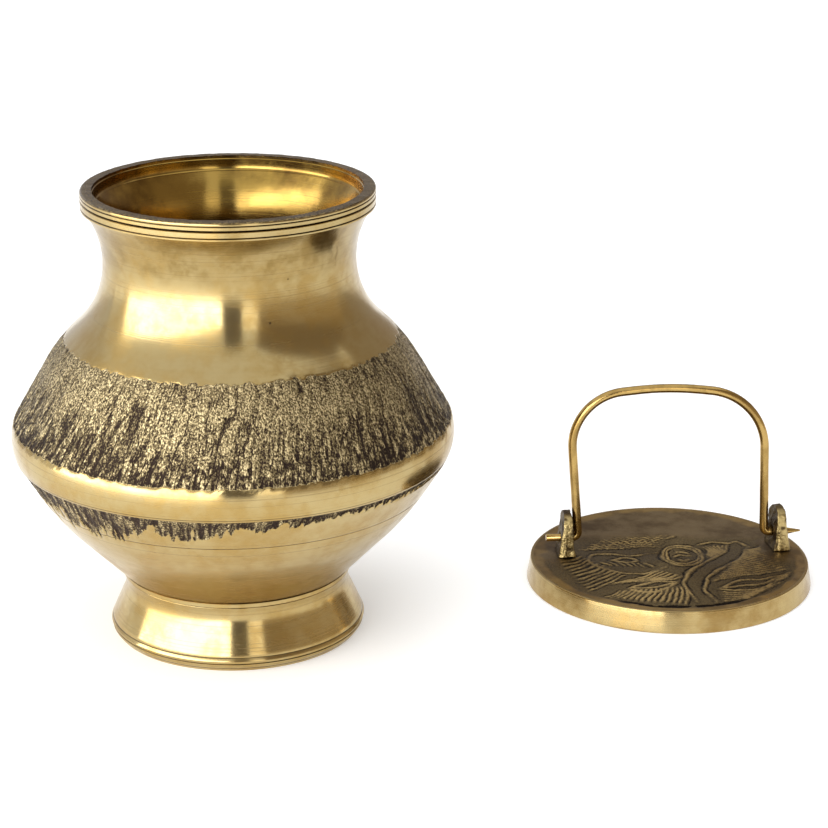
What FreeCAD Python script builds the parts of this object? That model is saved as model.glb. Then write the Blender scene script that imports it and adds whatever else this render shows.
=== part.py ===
# Cast brass pot for river water: a round belly on a brazed foot ring, with its
# cap-like lid lying beside it and the lid's wire bail standing up in two lugs.
# Millimetres. The origin is the centre of the foot's resting plane, +Z is up,
# and the lid lies on the +X side.
import FreeCAD, Part
import math
import os

Vector = FreeCAD.Vector

# Pot
wall = 2.6
floor_thickness = 3.0
floor_rounding = 10.0
bowl_rise = 19.3
bowl_corner_radius = 50.5
bowl_rounding = 70.0
belly_rise = 20.1
belly_corner_radius = 63.4
belly_rounding = 12.8
shoulder_rise = 24.8
shoulder_corner_radius = 48.8
shoulder_rounding = 40.0
neck_rise = 21.5
neck_corner_radius = 26.5
neck_rounding = 25.5
lip_rise = 18.0
lip_height = 4.8
lip_radius = 39.8
lip_wall = 3.2
lip_ledge = 0.7
lip_edge_rounding = 0.6
mouth_rounding = 4.0
groove_width = 0.7
groove_depth = 0.5
groove_below_top = 2.4

# Foot ring
foot_height = 18.5
foot_joint_radius = 31.7
foot_wall = 2.6
foot_bead_height = 1.2
foot_bead_projection = 0.25
foot_waist_inset = 1.0
foot_waist_drop = 3.9
foot_waist_rounding = 9.0
foot_flare = 4.1
foot_band_height = 3.2
foot_band_step = 0.3
foot_band_rounding = 1.0
foot_rest_inset = 1.5

# Lid
lid_gap_to_belly = 20.1
lid_set_back = 31.9
lid_edge_height = 6.4
lid_edge_slope = 1.1
lid_edge_rounding = 0.4
lid_plate_thickness = 2.2
lid_skirt_wall = 1.9
lid_clearance = 0.3

# Lugs on the lid
lug_height = 13.1
lug_depth = 8.6
lug_base_thickness = 4.0
lug_top_thickness = 2.2
lug_edge_rounding = 0.5
left_lug_place = -29.8
right_lug_place = 33.7
right_lug_twist = 7.0
pivot_height = 4.7
pivot_set_back = 6.5
pivot_turn = 4.5
pivot_clearance = 0.3
pivot_countersink = 0.6

# Bail
wire_diameter = 2.6
pin_diameter = 2.2
pin_taper = 0.6
foot_bend_radius = 1.6
left_leg_gap = 0.52
left_leg_lean = 3.4
left_shoulder_height = 43.6
left_shoulder_rounding = 16.0
left_pin_reach = 6.1
left_pin_chamfer = 0.2
right_leg_gap = 1.02
right_leg_lean = 1.5
right_shoulder_height = 42.8
right_shoulder_rounding = 19.0
right_pin_reach = 7.0
right_pin_point_length = 4.6
right_pin_point_diameter = 0.5
apex_place = -0.5
apex_height = 46.4
apex_rounding = 90.0

# Worked out from the sizes above
bowl_height = foot_height + bowl_rise
belly_height = bowl_height + belly_rise
shoulder_height = belly_height + shoulder_rise
neck_height = shoulder_height + neck_rise
ledge_height = neck_height + lip_rise
pot_height = ledge_height + lip_height
mouth_radius = lip_radius - lip_wall
lid_bottom_radius = lip_radius + lid_clearance + lid_skirt_wall
lid_centre_x = belly_corner_radius + lid_gap_to_belly + lid_bottom_radius
lug_narrowing = (lug_base_thickness - lug_top_thickness) / lug_height
lug_pivot_half = (lug_base_thickness - lug_narrowing * pivot_height) / 2
left_face_place = left_lug_place + lug_pivot_half
right_face_place = right_lug_place - lug_pivot_half
left_leg_place = left_face_place + left_leg_gap + wire_diameter / 2
right_leg_place = right_face_place - right_leg_gap - wire_diameter / 2

# Points nearer than this are one point
touching = 1e-6


def unit(start, end):
    length = math.hypot(end[0] - start[0], end[1] - start[1])
    return ((end[0] - start[0]) / length, (end[1] - start[1]) / length)


def meet(start, along, other_start, other_along):
    """The crossing point of two lines, each given by a point and a direction."""
    cross = along[0] * other_along[1] - along[1] * other_along[0]
    gap = (other_start[0] - start[0], other_start[1] - start[1])
    reach = (gap[0] * other_along[1] - gap[1] * other_along[0]) / cross
    return (start[0] + along[0] * reach, start[1] + along[1] * reach)


def inside(points, distance):
    """The same outline moved to its left by a distance, corner for corner."""
    moved = []
    for start, end in zip(points, points[1:]):
        along = unit(start, end)
        moved.append(((start[0] - along[1] * distance, start[1] + along[0] * distance), along))
    corners = [moved[0][0]]
    for (start, along), (other_start, other_along) in zip(moved, moved[1:]):
        corners.append(meet(start, along, other_start, other_along))
    last, along = moved[-1]
    end_length = math.dist(points[-2], points[-1])
    corners.append((last[0] + along[0] * end_length, last[1] + along[1] * end_length))
    return corners


def half_angle(before, corner, after):
    """Half the angle between the two edges that meet at a corner."""
    back = unit(corner, before)
    onward = unit(corner, after)
    return math.acos(back[0] * onward[0] + back[1] * onward[1]) / 2


def arc_reaches(corners):
    """How far from each corner its arc starts, kept short enough for the edges beside it."""
    count = len(corners)
    wished = []
    for index, corner in enumerate(corners):
        if corner[2] == 0.0:
            wished.append(0.0)
        else:
            half = half_angle(corners[index - 1], corner, corners[(index + 1) % count])
            wished.append(corner[2] / math.tan(half))
    reaches = []
    for index, corner in enumerate(corners):
        room = 1.0
        for other in (index - 1, (index + 1) % count):
            length = math.dist(corner[:2], corners[other][:2])
            if wished[index] + wished[other] > length:
                room = min(room, length / (wished[index] + wished[other]))
        reaches.append(wished[index] * room)
    return reaches


def corner_points(before, corner, after, reach):
    """The start, middle and end of a corner's arc, or the corner alone if it is sharp."""
    if reach == 0.0:
        return [corner[:2]]
    back = unit(corner, before)
    onward = unit(corner, after)
    half = half_angle(before, corner, after)
    bisector = unit((0, 0), (back[0] + onward[0], back[1] + onward[1]))
    near = reach * (1 / math.cos(half) - math.tan(half))
    return [
        (corner[0] + back[0] * reach, corner[1] + back[1] * reach),
        (corner[0] + bisector[0] * near, corner[1] + bisector[1] * near),
        (corner[0] + onward[0] * reach, corner[1] + onward[1] * reach),
    ]


def rounded_edges(points, closed, place):
    """Straight and tangent arc edges along (x, y, rounding) points, set by place(x, y)."""
    count = len(points)
    corners = [point if len(point) > 2 else (point[0], point[1], 0.0) for point in points]
    reaches = arc_reaches(corners)
    turns = []
    for index, corner in enumerate(corners):
        before = corners[index - 1]
        after = corners[(index + 1) % count]
        turns.append(corner_points(before, corner, after, reaches[index]))
    edges = []
    for index, turn in enumerate(turns):
        placed = [place(*point) for point in turn]
        if len(placed) == 3:
            edges.append(Part.Arc(*placed).toShape())
        if index < count - 1 or closed:
            start = placed[-1]
            end = place(*turns[(index + 1) % count][0])
            if start.distanceToPoint(end) > touching:
                edges.append(Part.LineSegment(start, end).toShape())
    return edges


def upright(x, z):
    return Vector(x, 0, z)


def side_on(y, z):
    return Vector(0, y, z)


def turned(points):
    """A solid of revolution about the Z axis from a closed (radius, height) outline."""
    face = Part.Face(Part.Wire(rounded_edges(points, True, upright)))
    return face.revolve(Vector(0, 0, 0), Vector(0, 0, 1), 360)


def make_pot_body():
    outside = [
        (foot_joint_radius, foot_height),
        (bowl_corner_radius, bowl_height),
        (belly_corner_radius, belly_height),
        (shoulder_corner_radius, shoulder_height),
        (neck_corner_radius, neck_height),
        (lip_radius - lip_ledge, ledge_height),
    ]
    roundings = [0.0, bowl_rounding, belly_rounding, shoulder_rounding, neck_rounding, 0.0]
    bulges = [0.0, -wall, -wall, -wall, wall, 0.0]
    within = inside(outside, wall)
    floor_height = foot_height + floor_thickness
    floor_corner = meet(within[0], unit(within[0], within[1]), (0, floor_height), (1, 0))
    mouth_corner = meet(within[4], unit(within[4], within[5]), (mouth_radius, 0), (0, 1))
    groove_height = pot_height - groove_below_top

    outline = [(x, z, r) for (x, z), r in zip(outside, roundings)]
    outline += [
        (lip_radius, ledge_height),
        (lip_radius, groove_height - groove_width / 2),
        (lip_radius - groove_depth, groove_height),
        (lip_radius, groove_height + groove_width / 2),
        (lip_radius, pot_height, lip_edge_rounding),
        (mouth_radius, pot_height),
        (mouth_corner[0], mouth_corner[1], mouth_rounding),
    ]
    for index in (4, 3, 2, 1):
        outline.append((within[index][0], within[index][1], roundings[index] + bulges[index]))
    outline += [
        (floor_corner[0], floor_corner[1], floor_rounding),
        (0, floor_height),
        (0, foot_height),
    ]
    return turned(outline)


def make_foot_ring():
    width_radius = foot_joint_radius + foot_flare
    waist_radius = foot_joint_radius - foot_waist_inset
    bead_radius = foot_joint_radius + foot_bead_projection
    bead_bottom = foot_height - foot_bead_height
    waist = (waist_radius, foot_height - foot_waist_drop)
    width = (width_radius, foot_band_height)
    inner_width = (width_radius - foot_wall, foot_band_height)
    inner_waist = meet(inner_width, unit(width, waist), (waist_radius - foot_wall, 0), (0, 1))
    outline = [
        (width_radius - foot_rest_inset, 0),
        (width_radius - foot_band_step, foot_band_height / 2, foot_band_rounding),
        (width_radius - foot_band_step, foot_band_height),
        width,
        (waist[0], waist[1], foot_waist_rounding),
        (foot_joint_radius, bead_bottom),
        (bead_radius, bead_bottom),
        (bead_radius, foot_height),
        (inner_waist[0], foot_height),
        (inner_waist[0], inner_waist[1], foot_waist_rounding),
        inner_width,
        (inner_width[0], 0),
    ]
    return turned(outline)


def make_lid_plate():
    skirt_radius = lip_radius + lid_clearance
    recess_height = lid_edge_height - lid_plate_thickness
    outline = [
        (skirt_radius, 0),
        (lid_bottom_radius, 0, lid_edge_rounding),
        (lid_bottom_radius - lid_edge_slope, lid_edge_height, lid_edge_rounding),
        (0, lid_edge_height),
        (0, recess_height),
        (skirt_radius, recess_height),
    ]
    lid = turned(outline)
    lid.translate(Vector(lid_centre_x, lid_set_back, 0))
    return lid


def to_pivot(shape):
    """Set a shape made about the pivot line, along X through the origin, on the lid."""
    turn = math.radians(pivot_turn)
    shape.rotate(Vector(0, 0, 0), Vector(0, 0, 1), pivot_turn)
    shape.translate(Vector(
        lid_centre_x - pivot_set_back * math.sin(turn),
        lid_set_back + pivot_set_back * math.cos(turn),
        lid_edge_height + pivot_height,
    ))
    return shape


def make_lug(place, twist):
    half_depth = lug_depth / 2
    bottom = -pivot_height
    top = lug_height - pivot_height
    side = [
        (-half_depth, bottom),
        (half_depth, bottom),
        (half_depth, top, half_depth),
        (-half_depth, top, half_depth),
    ]
    slab = Part.Face(Part.Wire(rounded_edges(side, True, side_on)))
    slab.translate(Vector(-lug_base_thickness, 0, 0))
    slab = slab.extrude(Vector(2 * lug_base_thickness, 0, 0))
    front = [
        (-lug_base_thickness / 2, bottom),
        (lug_base_thickness / 2, bottom),
        (lug_top_thickness / 2, top, lug_edge_rounding),
        (-lug_top_thickness / 2, top, lug_edge_rounding),
    ]
    wedge = Part.Face(Part.Wire(rounded_edges(front, True, upright)))
    wedge.translate(Vector(0, -lug_depth, 0))
    wedge = wedge.extrude(Vector(0, 2 * lug_depth, 0))
    lug = slab.common(wedge)
    lug.rotate(Vector(0, 0, 0), Vector(0, 0, 1), twist)

    hole_radius = pin_diameter / 2 + pivot_clearance
    reach = lug_base_thickness
    along = Vector(1, 0, 0)
    lug = lug.cut(Part.makeCylinder(hole_radius, 2 * reach, Vector(-reach, 0, 0), along))
    for direction in (1, -1):
        start = Vector(direction * (lug_pivot_half - pivot_countersink), 0, 0)
        outward = Vector(direction, 0, 0)
        flare = Part.makeCone(hole_radius, hole_radius + reach, reach, start, outward)
        lug = lug.cut(flare)
    lug.translate(Vector(place, 0, 0))
    return to_pivot(lug)


def make_bail():
    line = [
        (left_face_place, 0),
        (left_leg_place, 0, foot_bend_radius),
        (left_leg_place - left_leg_lean, left_shoulder_height, left_shoulder_rounding),
        (apex_place, apex_height, apex_rounding),
        (right_leg_place - right_leg_lean, right_shoulder_height, right_shoulder_rounding),
        (right_leg_place, 0, foot_bend_radius),
        (right_face_place, 0),
    ]
    path = Part.Wire(rounded_edges(line, False, upright))
    ring = Part.Circle(Vector(left_face_place, 0, 0), Vector(1, 0, 0), wire_diameter / 2)
    bail = path.makePipeShell([Part.Wire(ring.toShape())], True, False)

    wire_radius = wire_diameter / 2
    pin_radius = pin_diameter / 2
    left_end = left_lug_place - left_pin_reach
    right_end = right_lug_place + right_pin_reach
    left_pin = [
        (0, left_face_place),
        (wire_radius, left_face_place),
        (pin_radius, left_face_place - pin_taper),
        (pin_radius, left_end + left_pin_chamfer),
        (pin_radius - left_pin_chamfer, left_end),
        (0, left_end),
    ]
    right_pin = [
        (0, right_face_place),
        (wire_radius, right_face_place),
        (pin_radius, right_face_place + pin_taper),
        (pin_radius, right_end - right_pin_point_length),
        (right_pin_point_diameter / 2, right_end),
        (0, right_end),
    ]
    for pin in (left_pin, right_pin):
        shaft = turned(pin)
        shaft.rotate(Vector(0, 0, 0), Vector(0, 1, 0), 90)
        bail = bail.fuse(shaft)
    return to_pivot(bail.removeSplitter())


def main():
    os.makedirs("parts", exist_ok=True)
    parts = {
        "pot_body": make_pot_body(),
        "foot_ring": make_foot_ring(),
        "lid_plate": make_lid_plate(),
        "lug_left": make_lug(left_lug_place, 0.0),
        "lug_right": make_lug(right_lug_place, right_lug_twist),
        "bail": make_bail(),
    }
    for name, shape in parts.items():
        shape.exportStep("parts/" + name + ".step")
        print(name, "valid", shape.isValid(), "solids", len(shape.Solids),
              "volume", round(shape.Volume, 1))


main()
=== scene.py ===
"""A cast brass water pot with its cap lid lying beside it. All lengths are in metres."""
import math

import bpy
import numpy as np
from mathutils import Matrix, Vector, noise


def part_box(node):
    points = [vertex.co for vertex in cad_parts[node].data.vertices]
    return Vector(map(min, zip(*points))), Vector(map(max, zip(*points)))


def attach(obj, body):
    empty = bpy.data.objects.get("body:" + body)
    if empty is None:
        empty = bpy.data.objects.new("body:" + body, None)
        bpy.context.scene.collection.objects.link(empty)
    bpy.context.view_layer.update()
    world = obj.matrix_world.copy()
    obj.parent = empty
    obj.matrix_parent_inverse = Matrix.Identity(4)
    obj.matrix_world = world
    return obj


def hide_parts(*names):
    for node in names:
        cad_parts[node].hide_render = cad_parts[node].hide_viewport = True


MM = 0.001

# Camera, found from the pot's rim and foot in the photograph
PHOTO_WIDTH = 828
FOCAL_PIXELS = 2515
SENSOR_WIDTH = 36.0
CAMERA_PLACE = (50.0 * MM, -659.5 * MM, 288.6 * MM)
CAMERA_PITCH = 18.95

# How finely the turned pieces are divided
TOUCHING = 0.001 * MM
POT_STEPS = 184
LID_STEPS = 144
ROUND_CUTS = 3
SKIN_ROW = 0.5 * MM
LID_ROW = 0.45 * MM

# Heights on the pot
JOINT = 18.5 * MM
BELLY_LINE = 53.1 * MM
SHOULDER_SKIN = (62.4 * MM, 85.7 * MM)
NECK_WAIST = 104.0 * MM
LIP_TOP = 127.0 * MM
STRIPE_REACH = 13.5 * MM
STRIPE_WIDEST = 220
SKIN_MARGIN = 0.8 * MM

# The straight flanks of the pot, as (radius, height) where their lines meet
BOWL_CORNER = (50.5 * MM, 37.8 * MM)
BELLY_CORNER = (63.4 * MM, 57.9 * MM)
SHOULDER_CORNER = (48.8 * MM, 82.7 * MM)
ROLLED_RADIUS = 60 * MM
CRACK_LEAN = 0.22

# Turned grooves as (height, width, depth, least radius); the fine dark lines of the photograph
POT_GROOVES = (
    (JOINT + 0.25 * MM, 0.4 * MM, 0.15 * MM, 30 * MM),
    (43.6 * MM, 0.3 * MM, 0.08 * MM, 33 * MM),
    (BELLY_LINE, 0.4 * MM, 0.2 * MM, 33 * MM),
    (BELLY_LINE + 0.75 * MM, 0.35 * MM, 0.16 * MM, 33 * MM),
    (LIP_TOP - 4.25 * MM, 0.5 * MM, 0.25 * MM, 33 * MM),
    (LIP_TOP - 1.1 * MM, 0.45 * MM, 0.22 * MM, 33 * MM),
)
LIP_GROOVE = (LIP_TOP - 2.4 * MM, 0.7 * MM)
FOOT_GROOVES = (
    (0.9 * MM, 0.35 * MM, 0.15 * MM, 34.2 * MM),
    (2.3 * MM, 0.35 * MM, 0.18 * MM, 35 * MM),
    (4.1 * MM, 0.3 * MM, 0.1 * MM, 34.6 * MM),
    (JOINT - 1.2 * MM, 0.4 * MM, 0.18 * MM, 30 * MM),
)

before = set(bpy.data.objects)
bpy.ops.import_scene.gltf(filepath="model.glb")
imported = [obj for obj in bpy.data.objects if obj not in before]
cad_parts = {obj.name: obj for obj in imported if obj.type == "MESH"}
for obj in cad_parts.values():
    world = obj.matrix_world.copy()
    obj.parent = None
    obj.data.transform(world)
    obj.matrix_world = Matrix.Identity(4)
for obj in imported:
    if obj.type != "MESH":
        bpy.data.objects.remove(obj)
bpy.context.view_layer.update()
lid_low, lid_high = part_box("lid_plate")
LID_CENTRE = (lid_low + lid_high) / 2
LID_TOP = lid_high.z
LID_CAST_RADIUS = 40.2
CREVICE_RADIUS = 36.7


def start_editing(piece):
    """Selects one piece alone and opens all of its mesh for editing."""
    bpy.ops.object.select_all(action="DESELECT")
    bpy.context.view_layer.objects.active = piece
    piece.select_set(True)
    bpy.ops.object.mode_set(mode="EDIT")
    bpy.ops.mesh.select_all(action="SELECT")


def stop_editing():
    bpy.ops.object.mode_set(mode="OBJECT")


def choose(piece, kind, wanted):
    """Selects the vertices, edges or faces for which wanted(item) is true, and opens editing."""
    mesh = piece.data
    kinds = ("vertices", "edges", "polygons")
    bpy.context.tool_settings.mesh_select_mode = [name == kind for name in kinds]
    for name in kinds:
        items = getattr(mesh, name)
        items.foreach_set("select", [False] * len(items))
    items = getattr(mesh, kind)
    items.foreach_set("select", [wanted(item) for item in items])
    bpy.ops.object.mode_set(mode="EDIT")


def copy_of(node, name):
    """A new piece that starts as a merged copy of a CAD node."""
    piece = bpy.data.objects.new(name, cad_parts[node].data.copy())
    bpy.context.collection.objects.link(piece)
    piece.data.name = name
    piece.data.materials.clear()
    start_editing(piece)
    bpy.ops.mesh.customdata_custom_splitnormals_clear()
    bpy.ops.mesh.remove_doubles(threshold=TOUCHING)
    stop_editing()
    return piece


def outline_of(node, name, centre):
    """The half outline of a turned CAD node, cut out of it on the +X side of its axis."""
    piece = copy_of(node, name)
    start_editing(piece)
    bpy.ops.mesh.bisect(plane_co=centre, plane_no=(0, 1, 0), clear_inner=True, clear_outer=True)
    bpy.ops.mesh.select_all(action="SELECT")
    bpy.ops.mesh.bisect(plane_co=centre, plane_no=(1, 0, 0), clear_inner=True)
    stop_editing()
    return piece


def divide_edges(piece, longest, wanted):
    """Cuts the edges for which wanted(middle) is true into equal runs no longer than asked."""
    mesh = piece.data

    def cuts_for(edge):
        first, second = (mesh.vertices[index].co for index in edge.vertices)
        if not wanted((first + second) / 2):
            return 0
        return math.ceil((first - second).length / longest - 0.01) - 1

    most = max(cuts_for(edge) for edge in mesh.edges)
    while most > 0:
        choose(piece, "edges", lambda edge: cuts_for(edge) == most)
        bpy.ops.mesh.subdivide(number_cuts=most)
        stop_editing()
        most = max(cuts_for(edge) for edge in mesh.edges)


def cut_grooves(piece, grooves):
    """Cuts small V grooves round the outside of an outline."""
    for height, width, depth, least in grooves:
        for level in (height - width / 2, height, height + width / 2):
            start_editing(piece)
            bpy.ops.mesh.bisect(plane_co=(0, 0, level), plane_no=(0, 0, 1))
            stop_editing()
        choose(piece, "vertices", lambda vertex: abs(vertex.co.z - height) < TOUCHING and vertex.co.x > least)
        bpy.ops.transform.translate(value=(-depth, 0, 0))
        stop_editing()


def spin(piece, centre, steps):
    """Turns an outline once round the upright axis through a centre."""
    start_editing(piece)
    bpy.ops.mesh.spin(steps=steps, angle=math.tau, center=centre, axis=(0, 0, 1))
    bpy.ops.mesh.select_all(action="SELECT")
    bpy.ops.mesh.remove_doubles(threshold=TOUCHING)
    bpy.ops.mesh.normals_make_consistent(inside=False)
    stop_editing()
    bpy.ops.object.shade_smooth_by_angle(angle=math.radians(40))


def divide_round(piece, centre, wanted):
    """Cuts the edges that run round the axis, where wanted(middle) is true, into smaller ones."""
    mesh = piece.data

    def runs_round(edge):
        first, second = (mesh.vertices[index].co for index in edge.vertices)
        if abs(first.z - second.z) > TOUCHING or not wanted((first + second) / 2):
            return False
        radii = [math.hypot(end.x - centre[0], end.y - centre[1]) for end in (first, second)]
        return abs(radii[0] - radii[1]) < TOUCHING

    choose(piece, "edges", runs_round)
    bpy.ops.mesh.subdivide(number_cuts=ROUND_CUTS)
    stop_editing()


def store(piece, name, values):
    """Keeps one number per vertex on the mesh, for its material to read."""
    attribute = piece.data.attributes.new(name, "FLOAT", "POINT")
    attribute.data.foreach_set("value", np.asarray(values, float))


def normals_of(piece):
    """Copies of the vertex normals, taken before any vertex moves."""
    return [vertex.normal.copy() for vertex in piece.data.vertices]


def smooth_step(low, high, value):
    share = min(1.0, max(0.0, (value - low) / (high - low)))
    return share * share * (3 - 2 * share)


def groove_share(place, grooves):
    """1 at the bottom of the nearest groove, 0 beside it."""
    share = 0.0
    for height, width, *depth_and_least in grooves:
        if math.hypot(place.x, place.y) > 29 * MM:
            share = max(share, 1 - abs(place.z - height) / (width / 2))
    return share


def finish_piece(piece, node, body, material):
    piece.data.materials.append(material)
    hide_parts(node)
    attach(piece, body)


# The pot body

def drawn_noise(place, across, upright, seed):
    """Noise drawn out into long leaning streaks up the wall, from about -0.7 to 0.7."""
    around = math.atan2(place.y, place.x) - CRACK_LEAN * place.z / ROLLED_RADIUS
    x = ROLLED_RADIUS * math.cos(around)
    y = ROLLED_RADIUS * math.sin(around)
    return noise.noise(Vector((x / across + seed, y / across, place.z / upright)))


def crack_share(place):
    """1 in the bottom of the cracks in the cast skin; there are more of them lower down."""
    low = 1 - smooth_step(SHOULDER_SKIN[0], SHOULDER_SKIN[0] + 17 * MM, place.z)
    patch = smooth_step(-0.25, 0.2, noise.noise(place / (12 * MM)))
    bent = place + Vector((1, 1, 0)) * 1.1 * MM * noise.noise(place / (5 * MM))
    long_crack = 1 - smooth_step(0.01, 0.14, abs(drawn_noise(bent, 3.3 * MM, 19 * MM, 3.0)))
    short_crack = 1 - smooth_step(0.01, 0.16, abs(drawn_noise(bent, 2.0 * MM, 8 * MM, 8.0)))
    clump = smooth_step(0.12, 0.42, noise.noise(place / (1.8 * MM)) + 0.24 * low)
    share = long_crack * (0.1 + 0.55 * patch + 0.35 * low)
    return min(1.0, max(share, short_crack * low * (0.35 + 0.6 * patch), 0.7 * clump * low))


def skin_depth(place, crack):
    """How far the rough cast skin lies below the turned surface, in millimetres."""
    ridge = drawn_noise(place, 1.3 * MM, 6 * MM, 1.0)
    grain = noise.noise(place / (0.62 * MM))
    return max(0.02, 0.18 + 0.30 * crack - 0.16 * ridge - 0.08 * grain)


def shoulder_share(place):
    """1 where the shoulder keeps its cast skin, 0 where it was turned, with an uneven edge."""
    wander = 0.45 * MM * noise.noise(place / (2.2 * MM)) + 0.3 * MM * noise.noise(place / (0.9 * MM))
    low, high = SHOULDER_SKIN
    rise = smooth_step(low - 0.15 * MM, low + 0.25 * MM, place.z + wander)
    fall = 1 - smooth_step(high - 0.25 * MM, high + 0.15 * MM, place.z + 1.6 * wander)
    return rise * fall


def stripe_reach(place):
    """How far below the belly's line the cast skin reaches; it is widest on the left."""
    facing = math.cos(math.atan2(place.y, place.x) - math.radians(STRIPE_WIDEST))
    return STRIPE_REACH * (0.16 + 0.10 * facing + 0.48 * max(0.0, facing) ** 3)


def stripe_share(place):
    """1 where cast skin is left below the belly, in ragged drips under the turned line."""
    below = (BELLY_LINE - place.z) / stripe_reach(place)
    drip = drawn_noise(place, 1.1 * MM, 9 * MM, 5.0) * 0.7 + noise.noise(place / (5.5 * MM)) * 0.4
    left = smooth_step(-0.14, 0.14, drip + 0.85 - below) * (1 - smooth_step(1.1, 1.25, below))
    return left * (1 - smooth_step(BELLY_LINE - 0.3 * MM, BELLY_LINE - 0.05 * MM, place.z))


def stripe_dark(place):
    """How dark the cast skin below the belly is: darker than the shoulder's, and streaked."""
    streak = smooth_step(-0.15, 0.25, drawn_noise(place, 0.9 * MM, 6 * MM, 11.0))
    return 0.42 + 0.62 * streak


def flank_radius(height):
    """The pot's outer radius on its two straight flanks."""
    lower, upper = (BELLY_CORNER, SHOULDER_CORNER) if height > BELLY_CORNER[1] else (BOWL_CORNER, BELLY_CORNER)
    share = (height - lower[1]) / (upper[1] - lower[1])
    return lower[0] + share * (upper[0] - lower[0])


def near_skin(place, reach):
    """True on the pot's outer face near the cast skin of the shoulder or below the belly."""
    shoulder = SHOULDER_SKIN[0] - SKIN_MARGIN < place.z < SHOULDER_SKIN[1] + SKIN_MARGIN
    stripe = BELLY_LINE - reach < place.z < BELLY_LINE
    outside = math.hypot(place.x, place.y) > flank_radius(place.z) - 1.7 * MM
    return (shoulder or stripe) and outside


def in_skin(place):
    """True where the pot's outer face needs small faces for its cast skin."""
    return near_skin(place, 1.3 * stripe_reach(place))


def make_pot():
    centre = (0, 0, 0)
    pot = outline_of("pot_body", "pot", centre)
    cut_grooves(pot, POT_GROOVES)
    divide_edges(pot, SKIN_ROW, lambda place: near_skin(place, 0.9 * STRIPE_REACH))
    divide_edges(pot, 3.0 * MM, lambda place: True)
    spin(pot, centre, POT_STEPS)
    divide_round(pot, centre, in_skin)
    mark_pot(pot)
    shape_skin(pot)
    finish_piece(pot, "pot_body", "pot", pot_material())


def mark_pot(pot):
    """Marks the dark grooves, the inside of the wall and the flat top of the lip."""
    grooves = (*POT_GROOVES, LIP_GROOVE)
    lines = []
    inside = []
    rim = []
    for vertex, normal in zip(pot.data.vertices, normals_of(pot)):
        place = vertex.co
        facing = (place.x * normal.x + place.y * normal.y) / max(TOUCHING, math.hypot(place.x, place.y))
        lines.append(groove_share(place, grooves))
        inside.append(facing < -0.05 or (normal.z > 0.9 and place.z < BOWL_CORNER[1]))
        rim.append(smooth_step(LIP_TOP - 0.5 * MM, LIP_TOP - 0.1 * MM, place.z))
    store(pot, "line", lines)
    store(pot, "inside", inside)
    store(pot, "rim", rim)


def shape_skin(pot):
    """Rounds the divided faces again, and sinks the cast skin below the turned surface."""
    step = math.tau / POT_STEPS
    skin = []
    cracks = []
    for vertex in pot.data.vertices:
        place = vertex.co.copy()
        share = 0.0
        crack = 0.0
        if in_skin(place):
            above = place.z > BELLY_CORNER[1]
            share = shoulder_share(place) if above else stripe_share(place)
            crack = crack_share(place) if above else stripe_dark(place)
            depth = share * skin_depth(place, crack) * MM
            off = (math.atan2(place.y, place.x) / step) % 1.0 - 0.5
            radius = math.hypot(place.x, place.y) * math.cos(off * step) / math.cos(step / 2)
            vertex.co.xy = place.xy.normalized() * (radius - 0.86 * depth)
            vertex.co.z -= (0.5 if above else -0.5) * depth
        elif place.z > LIP_TOP - 0.1 * MM:
            vertex.co.z -= 0.12 * MM * smooth_step(-0.15, 0.3, noise.noise(place / (1.1 * MM)))
        skin.append(share)
        cracks.append(share * crack)
    pot.data.update()
    store(pot, "skin", skin)
    store(pot, "crack", cracks)


# The foot ring

def make_foot():
    centre = (0, 0, 0)
    foot = outline_of("foot_ring", "foot", centre)
    cut_grooves(foot, FOOT_GROOVES)
    divide_edges(foot, 1.2 * MM, lambda place: True)
    spin(foot, centre, POT_STEPS)
    store(foot, "line", [groove_share(vertex.co, FOOT_GROOVES) for vertex in foot.data.vertices])
    finish_piece(foot, "foot_ring", "pot", turned_material("turned_foot"))


# The lid

def curve(points, count=6):
    """Points along a smooth curve through a few points, in millimetres from the lid's centre."""
    knots = [points[0], *points, points[-1]]
    line = []
    for index in range(1, len(knots) - 2):
        before, start, end, after = (np.array(knots[index + step], float) for step in (-1, 0, 1, 2))
        for share in np.linspace(0, 1, count, endpoint=index == len(knots) - 3):
            line.append(0.5 * (
                2 * start + (end - before) * share
                + (2 * before - 5 * start + 4 * end - after) * share ** 2
                + (3 * start - before - 3 * end + after) * share ** 3
            ))
    return np.array(line)


def oval(centre, half_width, half_depth, start=0.0, end=math.tau, count=48):
    turn = np.linspace(start, end, count)
    return np.stack([centre[0] + half_width * np.cos(turn), centre[1] + half_depth * np.sin(turn)], 1)


def between(first, last, share):
    return [tuple(np.array(a) * (1 - share) + np.array(b) * share) for a, b in zip(first, last)]


def distance_to(line, places):
    """The distance of each place from a line of points, and how far along it that is, 0 to 1."""
    nearest = np.full(len(places), 1e9)
    along = np.zeros(len(places))
    low = line.min(0) - 2.0
    high = line.max(0) + 2.0
    close = np.nonzero(((places > low) & (places < high)).all(1))[0]
    near = places[close]
    best = np.full(len(close), 1e9)
    where = np.zeros(len(close))
    for index in range(len(line) - 1):
        start = line[index]
        run = line[index + 1] - start
        share = np.clip(((near - start) @ run) / max(run @ run, 1e-9), 0, 1)
        away = np.linalg.norm(near - start - share[:, None] * run, axis=1)
        better = away < best
        best[better] = away[better]
        where[better] = (index + share[better]) / (len(line) - 1)
    nearest[close] = best
    along[close] = where
    return nearest, along


def scale_row(start, end, level, wave, flip):
    """A wavy line whose neighbours, flipped, close its waves into rows of scales."""
    count = 2 * round((end - start) / 2.1)
    points = []
    for index in range(count + 1):
        share = index / count
        swing = wave if (index + flip) % 2 else -wave
        points.append((start + share * (end - start), level + 2.6 * share + swing))
    return curve(points, 4)


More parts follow.
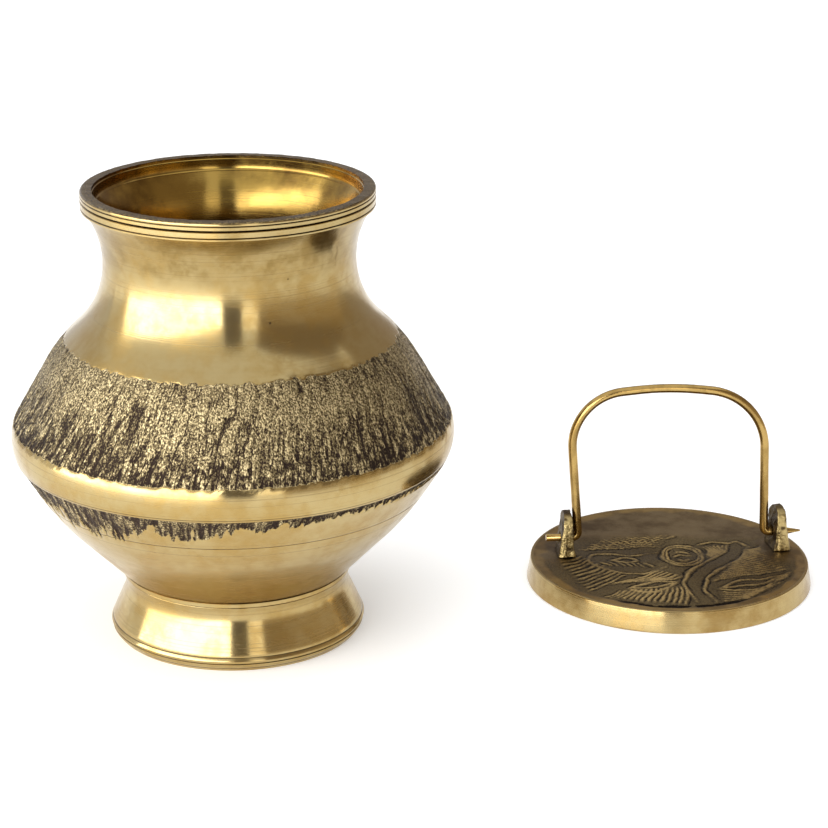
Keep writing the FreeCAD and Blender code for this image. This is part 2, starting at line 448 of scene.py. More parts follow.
def ornament_lines():
    """The lid's raised lines: (points, half width), in millimetres from the lid's centre."""
    lines = [
        (oval((4.2, 1.8), 6.1, 7.6), 0.55),
        (oval((4.2, 1.8), 4.9, 6.2), 0.4),
        (oval((0.4, 18.0), 3.4, 2.6), 0.5),
        (oval((0.4, 18.0), 1.0, 0.8), 0.5),
    ]
    outlines = (
        [(-3.0, 4.5), (-10.5, 1.6), (-18.0, 3.2), (-23.0, 2.2), (-22.8, -4.6), (-16.0, -11.2), (-8.0, -12.2), (-2.2, -6.8)],
        [(18.5, 11.5), (16.5, 4.5), (10.5, -3.8), (4.6, -11.5), (2.9, -20.0), (4.6, -33.0)],
        [(24.8, 8.6), (22.0, 0.5), (14.8, -8.2), (9.6, -15.5), (8.4, -23.0), (10.4, -33.5)],
        [(1.6, 0.6), (3.8, 2.2), (6.8, 1.4)],
        [(2.6, 4.0), (4.6, 4.8), (6.0, 3.8)],
        [(3.2, -1.6), (4.8, -2.6), (6.2, -1.4)],
        [(9.5, 9.5), (14.0, 12.0), (18.5, 11.5), (21.5, 12.8), (24.8, 8.6)],
        [(12.0, -23.5), (19.5, -17.5), (28.5, -15.0), (35.0, -10.5)],
        [(12.0, -23.5), (19.0, -24.6), (27.0, -20.5), (35.0, -10.5)],
        [(13.0, -23.0), (20.0, -21.0), (27.5, -17.8), (34.5, -11.0)],
        [(-14.5, -24.0), (-6.0, -18.5), (1.5, -18.5)],
        [(-14.5, -24.0), (-7.0, -26.0), (1.5, -18.5)],
        [(-13.5, -23.6), (-6.5, -22.4), (0.5, -19.0)],
        [(-17.5, -1.5), (-13.0, -3.4), (-9.5, -1.6), (-13.0, 0.0), (-17.5, -1.5)],
    )
    for points in outlines:
        lines.append((curve(points), 0.5))
    for row in range(6):
        level = 6.6 + 1.75 * row
        lines.append((scale_row(-26.0 + 1.6 * row, -2.0 + 0.8 * row, level, 0.42, row % 2), 0.42))
    families = (
        ([(24.4, 5.6), (28.5, 9.2), (31.5, 12.8)], [(10.4, -17.6), (21.0, -13.4), (34.6, -8.4)], 15, 0.5),
        ([(12.5, -26.0), (20.5, -25.8), (31.0, -18.6)], [(12.0, -34.5), (15.0, -33.6), (18.5, -31.5)], 6, 0.48),
        ([(-25.4, 1.5), (-28.5, -1.6), (-32.5, -3.4)], [(-14.0, -13.2), (-19.5, -19.8), (-25.5, -25.4)], 11, 0.46),
        ([(-3.6, -9.4), (-9.0, -15.0), (-19.0, -20.6)], [(2.6, -14.0), (-1.5, -16.6), (-8.5, -17.8)], 6, 0.44),
        ([(-16.0, -25.0), (-18.0, -27.4), (-21.0, -29.8)], [(3.2, -21.5), (2.6, -28.0), (1.4, -35.6)], 14, 0.46),
        ([(11.0, 8.6), (12.4, 5.6), (11.6, 1.6)], [(16.9, 10.0), (16.0, 5.4), (12.2, -1.0)], 6, 0.4),
        ([(-20.4, -3.2), (-19.2, -4.6), (-18.0, -6.0)], [(-7.4, -3.6), (-6.2, -5.4), (-5.2, -7.2)], 7, 0.4),
    )
    for first, last, count, width in families:
        for index in range(count):
            lines.append((curve(between(first, last, index / (count - 1))), width))
    return lines


def ornament(places):
    """The cast ornament at each place: 1 on its raised lines, -1 in the dark gaps beside them."""
    ridge = np.zeros(len(places))
    gap = np.zeros(len(places))
    for line, half_width in ornament_lines():
        away, along = distance_to(line, places)
        closed = np.ptp(line[[0, -1]], axis=0).max() < 0.01
        taper = 1.0 if closed else np.clip(9 * np.minimum(along, 1 - along), 0.3, 1)
        ridge = np.maximum(ridge, taper * np.exp(-(away / half_width) ** 2))
        beside = (away - 1.75 * half_width) / (0.75 * half_width)
        gap = np.maximum(gap, taper * np.exp(-beside ** 2))
    return ridge - gap * (1 - np.clip(1.6 * ridge, 0, 1))


def bent_places(places):
    """Places moved a little by noise, so that the ornament looks cut by hand and cast."""
    bent = places.copy()
    for index, (u, v) in enumerate(places):
        broad = noise.noise_vector(Vector((u / 5.5, v / 5.5, 0.5)))
        small = noise.noise_vector(Vector((u / 1.6, v / 1.6, 4.5)))
        bent[index, 0] += 0.9 * broad.x + 0.3 * small.x
        bent[index, 1] += 0.9 * broad.y + 0.3 * small.y
    return bent


def make_lid():
    centre = (LID_CENTRE.x, LID_CENTRE.y, 0)

    def on_top(place):
        return place.z > LID_TOP - TOUCHING

    lid = outline_of("lid_plate", "lid", centre)
    divide_edges(lid, LID_ROW, on_top)
    divide_edges(lid, 2.5 * MM, lambda place: True)
    spin(lid, centre, LID_STEPS)
    divide_round(lid, centre, on_top)
    shape_lid(lid)
    finish_piece(lid, "lid_plate", "lid", lid_material())


def shape_lid(lid):
    """Sinks the cast ground of the lid's top below its plain parts, and raises the ornament."""
    mesh = lid.data
    count = len(mesh.vertices)
    places = np.zeros(count * 3)
    mesh.vertices.foreach_get("co", places)
    places = places.reshape(-1, 3)
    flat = (places[:, :2] - np.array(LID_CENTRE.xy)) / MM
    radius = np.hypot(flat[:, 0], flat[:, 1])
    on_top = (places[:, 2] > LID_TOP - 0.01 * MM) & (radius < LID_CAST_RADIUS)
    raised = np.zeros(count)
    raised[on_top] = ornament(bent_places(flat[on_top]))
    carving = np.zeros(count)
    relief = np.zeros(count)
    worn = np.zeros(count)
    for index in np.nonzero(on_top)[0]:
        place = Vector(places[index])
        u, v = flat[index]
        ragged = 2.2 * noise.noise(place / (4 * MM))
        back = smooth_step(15, 20, v + 0.1 * abs(u) + ragged)
        edge = 1 - smooth_step(36.8, 37.9, radius[index] + 0.3 * ragged)
        side = smooth_step(27, 31, abs(u + 1.0) + ragged) * smooth_step(-7, 2, v)
        carved = max(0.0, 1 - max(back, side)) * edge
        wear = 0.85 + 0.7 * noise.noise(place / (3 * MM)) + 0.4 * noise.noise(place / (1 * MM))
        grain = noise.noise(place / (0.7 * MM)) * 0.035 + noise.noise(place / (2.4 * MM)) * 0.03
        turn = math.degrees(math.atan2(v, u))
        front = smooth_step(-122, -108, turn) * (1 - smooth_step(-68, -55, turn))
        bits = smooth_step(-0.35, -0.1, noise.noise(place / (2.1 * MM)))
        crevice = front * bits * math.exp(-((radius[index] - CREVICE_RADIUS - 0.2 * ragged) / 0.85) ** 4)
        carved = max(carved, crevice)
        drop = carved * (0.20 - 0.18 * wear * raised[index]) + 0.3 * crevice
        rim = 1 - smooth_step(LID_CAST_RADIUS - 0.8, LID_CAST_RADIUS, radius[index])
        places[index, 2] -= (drop + 0.06 - grain) * rim * MM
        carving[index] = carved
        relief[index] = wear * raised[index] * carved - 2 * crevice
        worn[index] = smooth_step(36.5, 38.5, radius[index] + ragged)
    mesh.vertices.foreach_set("co", places.ravel())
    mesh.update()
    store(lid, "relief", relief)
    store(lid, "carved", carving)
    store(lid, "cast", on_top)
    store(lid, "worn", worn)


# The lugs and the bail

def make_lug(side):
    lug = copy_of(f"lug_{side}", f"cast_lug_{side}")
    remesh = lug.modifiers.new("even_faces", "REMESH")
    remesh.mode = "VOXEL"
    remesh.voxel_size = 0.17 * MM
    smooth = lug.modifiers.new("softened", "SMOOTH")
    smooth.iterations = 5
    start_editing(lug)
    stop_editing()
    bpy.ops.object.modifier_apply(modifier="even_faces")
    bpy.ops.object.modifier_apply(modifier="softened")
    low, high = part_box(f"lug_{side}")
    middle = (low + high) / 2
    filed_front_painted_lit = []
    for vertex, normal in zip(lug.data.vertices, normals_of(lug)):
        place = vertex.co.copy()
        # The mask below picks the faces turned to -Y, towards the camera, in noisy patches. The lug material paints
        # them bright as painted light, and paints every other face dark as painted shade.
        front = smooth_step(0.35, 0.8, -normal.y)
        lump = 0.3 * noise.noise(place / (2.3 * MM)) + 0.1 * noise.noise(place / (0.8 * MM))
        from_pin = math.hypot(place.y - middle.y, place.z - (LID_TOP + 4.7 * MM))
        rough = smooth_step(1.7 * MM, 2.6 * MM, from_pin)
        vertex.co += normal * lump * MM * (0.6 if front > 0.5 else 1.0) * rough
        outward = (place.x > middle.x) == (middle.x > LID_CENTRE.x)
        reach = (9.0 if outward else 2.8) * MM
        taper = max(0.0, 1 - (place.z - LID_TOP) / reach)
        spread_out = (1.0 if outward else 0.45) * MM * taper
        vertex.co.x += normal.x * spread_out
        vertex.co.y += normal.y * spread_out * 0.8
        filed_front_painted_lit.append(front * smooth_step(-0.5, -0.1, noise.noise(place / (1.6 * MM))))
    lug.data.update()
    store(lug, "filed_front_painted_lit", filed_front_painted_lit)
    bpy.ops.object.shade_smooth()
    finish_piece(lug, f"lug_{side}", "lid", bpy.data.materials.get("cast_lugs") or lug_material())


def make_bail():
    bail = copy_of("bail", "bail_wire")
    low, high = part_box("bail")
    height = low.z + 1.5 * MM
    while height < high.z:
        start_editing(bail)
        bpy.ops.mesh.bisect(plane_co=(0, 0, height), plane_no=(0, 0, 1))
        stop_editing()
        height += 1.2 * MM
    for vertex, normal in zip(bail.data.vertices, normals_of(bail)):
        above = smooth_step(low.z + 3 * MM, low.z + 8 * MM, vertex.co.z)
        lump = noise.noise(vertex.co / (7 * MM)) * 0.05
        vertex.co += normal * lump * MM * above
    bail.data.update()
    bpy.ops.object.shade_smooth_by_angle(angle=math.radians(45))
    finish_piece(bail, "bail", "bail", wire_material())


# Shader helpers

def put(tree, socket, value):
    """Sets a socket, or links it where the value is another node's output."""
    if isinstance(value, bpy.types.NodeSocket):
        tree.links.new(value, socket)
    else:
        socket.default_value = value


def add(tree, kind, settings=None, inputs=None):
    """Adds a node with its settings and its inputs, which are named or numbered."""
    node = tree.nodes.new(kind)
    for name, value in (settings or {}).items():
        setattr(node, name, value)
    for name, value in (inputs or {}).items():
        put(tree, node.inputs[name], value)
    return node


def calculate(tree, operation, *values):
    node = add(tree, "ShaderNodeMath", {"operation": operation}, dict(enumerate(values)))
    return node.outputs[0]


def spread(tree, value, low, high, to_low=0.0, to_high=1.0):
    """Maps low..high smoothly to another range."""
    node = add(tree, "ShaderNodeMapRange", {"interpolation_type": "SMOOTHSTEP"},
               {"Value": value, "From Min": low, "From Max": high, "To Min": to_low, "To Max": to_high})
    return node.outputs["Result"]


def mix_colours(tree, share, first, second):
    node = add(tree, "ShaderNodeMix", {"data_type": "RGBA"}, {0: share, 6: first, 7: second})
    return node.outputs[2]


def mix_values(tree, share, first, second):
    node = add(tree, "ShaderNodeMix", {"data_type": "FLOAT"}, {0: share, 2: first, 3: second})
    return node.outputs[0]


def attribute(tree, name):
    return add(tree, "ShaderNodeAttribute", {"attribute_name": name}).outputs["Fac"]


def object_places(tree):
    return add(tree, "ShaderNodeTexCoord").outputs["Object"]


def height_of(tree):
    return add(tree, "ShaderNodeSeparateXYZ", {}, {"Vector": object_places(tree)}).outputs["Z"]


def new_group(name, inputs, outputs):
    """An empty node group with named number inputs and outputs."""
    tree = bpy.data.node_groups.new(name, "ShaderNodeTree")
    for label, value in inputs.items():
        socket = tree.interface.new_socket(label, in_out="INPUT", socket_type="NodeSocketFloat")
        socket.default_value = value
    for label in outputs:
        tree.interface.new_socket(label, in_out="OUTPUT", socket_type="NodeSocketFloat")
    start = tree.nodes.new("NodeGroupInput")
    end = tree.nodes.new("NodeGroupOutput")
    return tree, start.outputs, end.inputs


def use(tree, group, **inputs):
    """Places a node group in a material with its own values."""
    node = add(tree, "ShaderNodeGroup", {"node_tree": group})
    for name, value in inputs.items():
        put(tree, node.inputs[name], value)
    return node.outputs


def make_lathe_lines():
    """Fine tool marks along one direction: a height, and a mask of the darker lines."""
    tree, start, end = new_group("lathe_lines", {"Along": 0.0, "Spacing": 0.0005}, ("Height", "Dark"))
    place = calculate(tree, "DIVIDE", start["Along"], start["Spacing"])
    fine = add(tree, "ShaderNodeTexNoise", {"noise_dimensions": "1D"},
               {"W": place, "Scale": 1.0, "Detail": 3.0, "Roughness": 0.65})
    broad = add(tree, "ShaderNodeTexNoise", {"noise_dimensions": "1D"},
                {"W": place, "Scale": 0.14, "Detail": 2.0, "Roughness": 0.5})
    strength = spread(tree, broad.outputs["Fac"], 0.35, 0.6, 0.3, 1.0)
    put(tree, end["Height"], calculate(tree, "MULTIPLY", fine.outputs["Fac"], strength))
    put(tree, end["Dark"], spread(tree, fine.outputs["Fac"], 0.4, 0.28))
    return tree


def make_tarnish():
    """Soft clouds of tarnish and handling, from 0 to 1."""
    tree, start, end = new_group("tarnish", {"Size": 0.012}, ("Mask",))
    scale = calculate(tree, "DIVIDE", 1.0, start["Size"])
    cloud = add(tree, "ShaderNodeTexNoise", {},
                {"Vector": object_places(tree), "Scale": scale, "Detail": 5.0, "Roughness": 0.6})
    put(tree, end["Mask"], spread(tree, cloud.outputs["Fac"], 0.38, 0.66))
    return tree


def make_grain():
    """The small grains of a sand casting, drawn out upwards, as a height from 0 to 1."""
    tree, start, end = new_group("cast_grain", {"Size": 0.0006, "Upright": 1.0}, ("Height",))
    scale = calculate(tree, "DIVIDE", 1.0, start["Size"])
    apart = add(tree, "ShaderNodeSeparateXYZ", {}, {"Vector": object_places(tree)})
    pressed = calculate(tree, "DIVIDE", apart.outputs["Z"], start["Upright"])
    places = add(tree, "ShaderNodeCombineXYZ", {},
                 {"X": apart.outputs["X"], "Y": apart.outputs["Y"], "Z": pressed}).outputs["Vector"]
    beads = add(tree, "ShaderNodeTexNoise", {}, {"Vector": places, "Scale": scale, "Detail": 2.0, "Roughness": 0.65})
    put(tree, end["Height"], spread(tree, beads.outputs["Fac"], 0.3, 0.7))
    return tree


def make_streaks():
    """Noise drawn out into long leaning streaks up the pot's wall, as a value round 0.5."""
    tree, start, end = new_group("leaning_streaks", {"Across": 0.001, "Upright": 0.006}, ("Value",))
    apart = add(tree, "ShaderNodeSeparateXYZ", {}, {"Vector": object_places(tree)})
    turn = calculate(tree, "ARCTAN2", apart.outputs["Y"], apart.outputs["X"])
    lean = calculate(tree, "MULTIPLY", apart.outputs["Z"], CRACK_LEAN / ROLLED_RADIUS)
    around = calculate(tree, "SUBTRACT", turn, lean)
    turns = calculate(tree, "DIVIDE", ROLLED_RADIUS, start["Across"])
    x = calculate(tree, "MULTIPLY", calculate(tree, "COSINE", around), turns)
    y = calculate(tree, "MULTIPLY", calculate(tree, "SINE", around), turns)
    z = calculate(tree, "DIVIDE", apart.outputs["Z"], start["Upright"])
    rolled = add(tree, "ShaderNodeCombineXYZ", {}, {"X": x, "Y": y, "Z": z}).outputs["Vector"]
    drawn = add(tree, "ShaderNodeTexNoise", {}, {"Vector": rolled, "Scale": 1.0, "Detail": 2.0, "Roughness": 0.55})
    put(tree, end["Value"], drawn.outputs["Fac"])
    return tree


def make_pits():
    """A few small dark pits and spots in turned metal."""
    tree, start, end = new_group("pits", {"Size": 0.0035, "Share": 0.15}, ("Mask",))
    scale = calculate(tree, "DIVIDE", 1.0, start["Size"])
    cells = add(tree, "ShaderNodeTexVoronoi", {}, {"Vector": object_places(tree), "Scale": scale})
    pick = add(tree, "ShaderNodeSeparateColor", {}, {"Color": cells.outputs["Color"]})
    few = calculate(tree, "LESS_THAN", pick.outputs["Red"], start["Share"])
    size = calculate(tree, "MULTIPLY", pick.outputs["Green"], 0.07)
    spot = calculate(tree, "LESS_THAN", cells.outputs["Distance"], size)
    put(tree, end["Mask"], calculate(tree, "MULTIPLY", few, spot))
    return tree


lathe_lines = make_lathe_lines()
tarnish = make_tarnish()
cast_grain = make_grain()
leaning_streaks = make_streaks()
pits = make_pits()

BRIGHT_BRASS = (0.475, 0.365, 0.17, 1)
WARM_BRASS = (0.42, 0.285, 0.098, 1)
DULL_BRASS = (0.25, 0.175, 0.08, 1)
LINE_PATINA = (0.055, 0.034, 0.018, 1)
DARK_PATINA = (0.044, 0.030, 0.023, 1)
SKIN_BRASS = (0.245, 0.188, 0.096, 1)
STRAW_BRASS = (0.68, 0.555, 0.31, 1)
HANDLED_BRASS = (0.25, 0.165, 0.052, 1)
INSIDE_BRASS = (0.40, 0.26, 0.065, 1)
# Painted shade for deep inside the pot, also used for its tarnish clouds.
INSIDE_SHADE_AND_TARNISH = (0.095, 0.043, 0.013, 1)
RIM_BRASS = (0.075, 0.05, 0.028, 1)
LID_GAP = (0.012, 0.008, 0.006, 1)
LID_GROUND = (0.135, 0.098, 0.048, 1)
LID_HIGH = (0.42, 0.30, 0.13, 1)
LID_PLAIN = (0.23, 0.165, 0.085, 1)
LID_EDGE_BRIGHT = (0.46, 0.345, 0.155, 1)
LID_EDGE_WARM = (0.36, 0.235, 0.08, 1)
LID_PLAIN_DARK = (0.115, 0.078, 0.042, 1)


def new_material(name, anisotropic=0.0):
    """A metal with its shader's plain values set, and the parts that the looks are linked to."""
    material = bpy.data.materials.new(name)
    material.use_nodes = True
    tree = material.node_tree
    shader = tree.nodes["Principled BSDF"]
    shader.inputs["Metallic"].default_value = 1.0
    if anisotropic:
        shader.inputs["Anisotropic"].default_value = anisotropic
        shader.inputs["Anisotropic Rotation"].default_value = 0.25
        tangent = add(tree, "ShaderNodeTangent", {"direction_type": "RADIAL", "axis": "Z"})
        put(tree, shader.inputs["Tangent"], tangent.outputs["Tangent"])
    return material, tree, shader.inputs


def bump(tree, height, distance, normal=None):
    inputs = {"Height": height, "Distance": distance, "Strength": 1.0}
    if normal:
        inputs["Normal"] = normal
    return add(tree, "ShaderNodeBump", {}, inputs).outputs["Normal"]


def turned_looks(tree, bright=BRIGHT_BRASS, warm=WARM_BRASS):
    """Colour, roughness and height of brass that was turned on a lathe and polished."""
    lines = use(tree, lathe_lines, Along=height_of(tree), Spacing=0.00045)
    clouds = use(tree, tarnish, Size=0.016)["Mask"]
    small_clouds = use(tree, tarnish, Size=0.004)["Mask"]
    spots = use(tree, pits, Size=0.0042, Share=0.12)["Mask"]
    mottle = calculate(tree, "ADD", calculate(tree, "MULTIPLY", clouds, 0.75), calculate(tree, "MULTIPLY", small_clouds, 0.25))
    colour = mix_colours(tree, mottle, bright, warm)
    colour = mix_colours(tree, calculate(tree, "MULTIPLY", lines["Dark"], 0.45), colour, DULL_BRASS)
    colour = mix_colours(tree, spots, colour, LINE_PATINA)
    grooves = attribute(tree, "line")
    colour = mix_colours(tree, spread(tree, grooves, 0.1, 0.75), colour, LINE_PATINA)
    rough = spread(tree, mottle, 0.0, 1.0, 0.16, 0.25)
    rough = calculate(tree, "ADD", rough, calculate(tree, "MULTIPLY", lines["Dark"], 0.08))
    return colour, rough, lines["Height"]


def skin_looks(tree, share):
    """Colour, roughness and height of the rough cast skin; share is its mask."""
    grain = use(tree, cast_grain, Size=0.00042, Upright=1.7)["Height"]
    streaks = use(tree, leaning_streaks, Across=0.0009, Upright=0.0055)["Value"]
    broad = use(tree, leaning_streaks, Across=0.0026, Upright=0.015)["Value"]
    low = spread(tree, height_of(tree), SHOULDER_SKIN[0] + 19 * MM, SHOULDER_SKIN[0])
    patch = use(tree, tarnish, Size=0.018)["Mask"]
    patch = calculate(tree, "MULTIPLY", patch, 0.6)
    cracked = spread(tree, calculate(tree, "MAXIMUM", low, patch), 0.0, 1.0, 0.25, 1.0)
    off_middle = calculate(tree, "ABSOLUTE", calculate(tree, "SUBTRACT", broad, 0.5))
    crack = calculate(tree, "MULTIPLY", spread(tree, off_middle, 0.032, 0.004), cracked)
    ridge = calculate(tree, "MULTIPLY", calculate(tree, "SUBTRACT", streaks, 0.5), cracked)
    level = calculate(tree, "ADD", grain, calculate(tree, "MULTIPLY", ridge, 1.7))
    level = calculate(tree, "SUBTRACT", level, spread(tree, low, 0.0, 1.0, 0.06, 0.0))
    level = calculate(tree, "SUBTRACT", level, calculate(tree, "MULTIPLY", crack, 0.75))
    level = calculate(tree, "SUBTRACT", level, calculate(tree, "MULTIPLY", attribute(tree, "crack"), 0.8))
    colour = mix_colours(tree, spread(tree, level, -0.15, 0.40), DARK_PATINA, SKIN_BRASS)
    colour = mix_colours(tree, spread(tree, level, 0.40, 0.85), colour, STRAW_BRASS)
    rough = spread(tree, level, 0.0, 1.0, 0.6, 0.32)
    return colour, rough, calculate(tree, "MULTIPLY", level, share)


def pot_material():
    material, tree, sockets = new_material("cast_and_turned_brass", 0.8)
    colour, rough, lines = turned_looks(tree)
    height = height_of(tree)
    handled = calculate(tree, "MULTIPLY", spread(tree, height, NECK_WAIST, NECK_WAIST + 10 * MM),
                        spread(tree, height, LIP_TOP - 4.6 * MM, LIP_TOP - 6 * MM))
    handled = calculate(tree, "MULTIPLY", handled, spread(tree, use(tree, tarnish, Size=0.009)["Mask"], 0.0, 1.0, 0.35, 0.85))
    colour = mix_colours(tree, handled, colour, HANDLED_BRASS)
    # Painted shade: inside the pot the colour grows darker from under the lip down to below the neck's waist and
    # stays dark below, as shade deep in the pot, with darker tarnish clouds mixed in.
    inside_painted_shade_and_tarnish = spread(tree, height, NECK_WAIST + 16 * MM, NECK_WAIST - 6 * MM)
    clouds = use(tree, tarnish, Size=0.02)["Mask"]
    inside_painted_shade_and_tarnish = calculate(tree, "MAXIMUM", inside_painted_shade_and_tarnish, calculate(tree, "MULTIPLY", clouds, 0.75))
    inside_colour = mix_colours(tree, inside_painted_shade_and_tarnish, INSIDE_BRASS, INSIDE_SHADE_AND_TARNISH)
    colour = mix_colours(tree, attribute(tree, "inside"), colour, inside_colour)
    speckle = use(tree, cast_grain, Size=0.0005, Upright=1.0)["Height"]
    rim = calculate(tree, "MULTIPLY", attribute(tree, "rim"), spread(tree, speckle, 0.35, 0.75, 1.0, 0.3))
    colour = mix_colours(tree, rim, colour, RIM_BRASS)
    skin = attribute(tree, "skin")
    ragged = calculate(tree, "ADD", skin, calculate(tree, "MULTIPLY", speckle, 0.3))
    is_skin = spread(tree, ragged, 0.45, 0.75)
    skin_colour, skin_rough, grain = skin_looks(tree, is_skin)
    put(tree, sockets["Base Color"], mix_colours(tree, is_skin, colour, skin_colour))
    put(tree, sockets["Roughness"], mix_values(tree, is_skin, rough, skin_rough))
    line_height = calculate(tree, "MULTIPLY", lines, calculate(tree, "SUBTRACT", 1.0, is_skin))
    normal = bump(tree, line_height, 0.000012)
    put(tree, sockets["Normal"], bump(tree, grain, 0.00016, normal))
    return material


def turned_material(name):
    material, tree, sockets = new_material(name, 0.8)
    colour, rough, lines = turned_looks(tree)
    put(tree, sockets["Base Color"], colour)
    put(tree, sockets["Roughness"], rough)
    put(tree, sockets["Normal"], bump(tree, lines, 0.000012))
    return material


def lid_material():
    material, tree, sockets = new_material("lid_brass", 0.75)
    colour, rough, lines = turned_looks(tree, LID_EDGE_BRIGHT, LID_EDGE_WARM)
    cast = attribute(tree, "cast")
    carved = attribute(tree, "carved")
    relief = attribute(tree, "relief")
    grain = use(tree, cast_grain, Size=0.0006, Upright=1.0)["Height"]
    clouds = use(tree, tarnish, Size=0.011)["Mask"]
    level = calculate(tree, "ADD", relief, calculate(tree, "MULTIPLY", calculate(tree, "SUBTRACT", grain, 0.5), 0.55))
    ornament_colour = mix_colours(tree, spread(tree, level, -0.75, 0.05), LID_GAP, LID_GROUND)
    ornament_colour = mix_colours(tree, spread(tree, level, 0.05, 0.95), ornament_colour, LID_HIGH)
    plain_colour = mix_colours(tree, clouds, LID_PLAIN, LID_PLAIN_DARK)
    worn = calculate(tree, "MULTIPLY", attribute(tree, "worn"), spread(tree, clouds, 0.0, 1.0, 0.9, 0.35))
    plain_colour = mix_colours(tree, worn, plain_colour, LID_EDGE_WARM)
    top = mix_colours(tree, carved, plain_colour, ornament_colour)
    put(tree, sockets["Base Color"], mix_colours(tree, cast, colour, top))
    top_rough = mix_values(tree, carved, spread(tree, clouds, 0.0, 1.0, 0.34, 0.5), 0.5)
    put(tree, sockets["Roughness"], mix_values(tree, cast, rough, top_rough))
    normal = bump(tree, calculate(tree, "MULTIPLY", lines, calculate(tree, "SUBTRACT", 1.0, cast)), 0.000012)
    grain_height = calculate(tree, "MULTIPLY", grain, spread(tree, carved, 0.0, 1.0, 0.25, 1.0))
    put(tree, sockets["Normal"], bump(tree, calculate(tree, "MULTIPLY", grain_height, cast), 0.00006, normal))
    return material


def lug_material():
    material, tree, sockets = new_material("cast_lugs")
    filed_front_painted_lit = attribute(tree, "filed_front_painted_lit")
    grain = use(tree, cast_grain, Size=0.0006, Upright=1.0)["Height"]
    clouds = use(tree, tarnish, Size=0.003)["Mask"]
    # Painted light and shade: the dark colour is painted shade on every face but the camera-facing front, and the
    # bright colour there is painted light. The front is also made smoother.
    dark = mix_colours(tree, clouds, (0.13, 0.092, 0.042, 1), (0.055, 0.036, 0.02, 1))
    bright = mix_colours(tree, clouds, (0.54, 0.42, 0.19, 1), (0.27, 0.20, 0.085, 1))
    put(tree, sockets["Base Color"], mix_colours(tree, filed_front_painted_lit, dark, bright))
    put(tree, sockets["Roughness"], spread(tree, filed_front_painted_lit, 0.0, 1.0, 0.46, 0.3))
    put(tree, sockets["Normal"], bump(tree, grain, 0.00008))
    return material


def wire_material():
    material, tree, sockets = new_material("bail_brass")
    clouds = use(tree, tarnish, Size=0.006)["Mask"]
    grain = use(tree, cast_grain, Size=0.0012, Upright=3.0)["Height"]
    put(tree, sockets["Base Color"], mix_colours(tree, clouds, (0.50, 0.335, 0.115, 1), (0.35, 0.225, 0.072, 1)))
    put(tree, sockets["Roughness"], spread(tree, clouds, 0.0, 1.0, 0.18, 0.27))
    put(tree, sockets["Normal"], bump(tree, grain, 0.000008))
    return material


# The studio

CARD_DISTANCE = 1.2
WINDOW_DISTANCE = 1.1
SCENE_MIDDLE = (0.03, 0.0)


def shown_rays(tree):
    """1 for the rays that show the background: from the camera, in metal and through glass."""
    path = add(tree, "ShaderNodeLightPath")
    seen = calculate(tree, "MAXIMUM", path.outputs["Is Camera Ray"], path.outputs["Is Glossy Ray"])
    return calculate(tree, "MAXIMUM", seen, path.outputs["Is Transmission Ray"])


def make_world():
    world = bpy.data.worlds.new("studio")
    bpy.context.scene.world = world
    world.use_nodes = True
    tree = world.node_tree
    tree.nodes.clear()
    room = add(tree, "ShaderNodeBackground", {}, {"Color": (0.80, 0.80, 0.80, 1), "Strength": 0.62})
    white = add(tree, "ShaderNodeBackground", {}, {"Color": (1, 1, 1, 1), "Strength": 1.0})
    mixed = add(tree, "ShaderNodeMixShader", {}, {0: shown_rays(tree), 1: room.outputs[0], 2: white.outputs[0]})
    out = add(tree, "ShaderNodeOutputWorld")
    put(tree, out.inputs["Surface"], mixed.outputs[0])


def make_floor():
    bpy.ops.object.select_all(action="DESELECT")
    bpy.ops.mesh.primitive_plane_add(size=12.0, location=(0, 0, -0.02 * MM))
    floor = bpy.context.object
    floor.name = "floor"
    material = bpy.data.materials.new("pale_floor")
    material.use_nodes = True
    tree = material.node_tree
    shader = tree.nodes["Principled BSDF"]
    shader.inputs["Base Color"].default_value = (0.86, 0.86, 0.86, 1)
    shader.inputs["Roughness"].default_value = 0.8
    shader.inputs["Specular IOR Level"].default_value = 0.1
    shader.inputs["Emission Color"].default_value = (1, 1, 1, 1)
    apart = add(tree, "ShaderNodeSeparateXYZ", {}, {"Vector": object_places(tree)})
    squares = [calculate(tree, "POWER", apart.outputs[axis], 2.0) for axis in ("X", "Y")]
    away = calculate(tree, "SQRT", calculate(tree, "ADD", *squares))
    glow = calculate(tree, "MULTIPLY", shown_rays(tree), spread(tree, away, 0.4, 1.8, 0.33, 0.8))
    put(tree, shader.inputs["Emission Strength"], glow)
    floor.data.materials.append(material)


def place_at(azimuth, distance, height):
    """A place round the scene; azimuth 0 is towards the camera and grows to the right."""
    turn = math.radians(azimuth)
    return (SCENE_MIDDLE[0] + distance * math.sin(turn), SCENE_MIDDLE[1] - distance * math.cos(turn), height)


def make_card(name, start, end, low, high, colour, strength=1.0):
    """An upright card from one azimuth to another, which only the metal's reflections show."""
    middle = (start + end) / 2
    width = 2 * CARD_DISTANCE * math.tan(math.radians(end - start) / 2)
    bpy.ops.object.select_all(action="DESELECT")
    bpy.ops.mesh.primitive_plane_add(size=1.0, location=place_at(middle, CARD_DISTANCE, (low + high) / 2))
    card = bpy.context.object
    card.name = name
    card.scale = (width, high - low, 1)
    card.rotation_euler = (math.radians(90), 0, math.radians(middle))
    card.visible_camera = False
    card.visible_shadow = False
    card.visible_diffuse = False
    material = bpy.data.materials.new(name)
    material.use_nodes = True
    tree = material.node_tree
    tree.nodes.clear()
    glow = add(tree, "ShaderNodeEmission", {}, {"Color": (*colour, 1), "Strength": strength})
    out = add(tree, "ShaderNodeOutputMaterial")
    put(tree, out.inputs["Surface"], glow.outputs[0])
    card.data.materials.append(material)


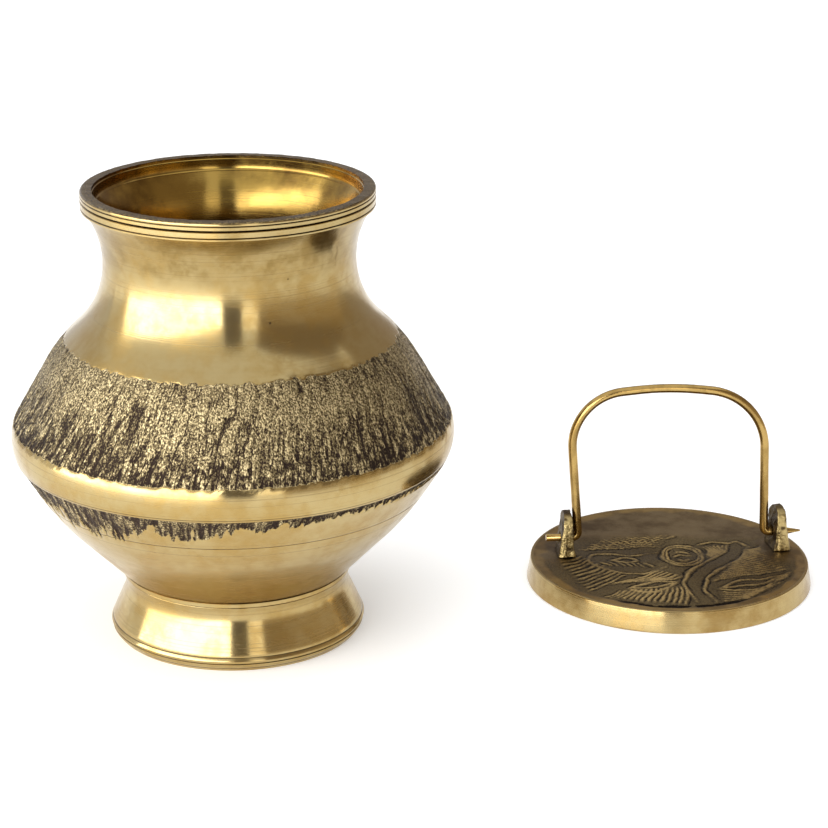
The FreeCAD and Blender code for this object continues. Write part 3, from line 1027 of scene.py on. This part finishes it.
def make_lamp(name, place, size, power, aim):
    data = bpy.data.lights.new(name, "AREA")
    data.shape = "RECTANGLE"
    data.size, data.size_y = size
    data.energy = power
    lamp = bpy.data.objects.new(name, data)
    bpy.context.collection.objects.link(lamp)
    lamp.location = place
    lamp.rotation_mode = "QUATERNION"
    lamp.rotation_quaternion = (Vector(aim) - Vector(place)).to_track_quat("-Z", "Y")
    lamp.visible_camera = False
    return lamp


def make_camera():
    data = bpy.data.cameras.new("camera")
    data.sensor_width = SENSOR_WIDTH
    data.lens = FOCAL_PIXELS / PHOTO_WIDTH * SENSOR_WIDTH
    camera = bpy.data.objects.new("camera", data)
    bpy.context.collection.objects.link(camera)
    camera.location = CAMERA_PLACE
    camera.rotation_euler = (math.radians(90 - CAMERA_PITCH), 0, 0)
    bpy.context.scene.camera = camera
    bpy.context.scene.view_settings.view_transform = "Standard"


def make_studio():
    make_world()
    make_floor()
    window_height = 0.39
    window_place = place_at(-50, WINDOW_DISTANCE, window_height)
    make_lamp("window_lamp", window_place, (2.2, 0.74), 26, (*SCENE_MIDDLE, window_height))
    top_lamp = make_lamp("top_lamp", (0.1, -0.1, 1.6), (1.4, 1.4), 12, (*SCENE_MIDDLE, 0))
    top_lamp.visible_glossy = False
    make_card("camera_side", -4, 12, 0.0, 1.5, (0.22, 0.20, 0.19))
    make_card("second_window", 12, 26, 0.1, 0.7, (1.0, 0.96, 0.88), 2.2)
    make_card("right_low", 26, 110, 0.0, 0.55, (0.62, 0.53, 0.42))
    make_card("right_high", 26, 110, 0.55, 1.9, (0.30, 0.24, 0.18))
    make_card("left_low", -100, -4, 0.0, 0.02, (0.66, 0.60, 0.52))
    make_card("back_right", 110, 165, 0.0, 1.2, (0.42, 0.36, 0.30))
    make_card("back", 165, 195, 0.0, 1.2, (0.40, 0.36, 0.32))
    make_card("back_left", 195, 245, 0.0, 1.2, (0.80, 0.80, 0.84))


make_camera()
make_pot()
make_foot()
make_lid()
make_lug("left")
make_lug("right")
make_bail()
make_studio()
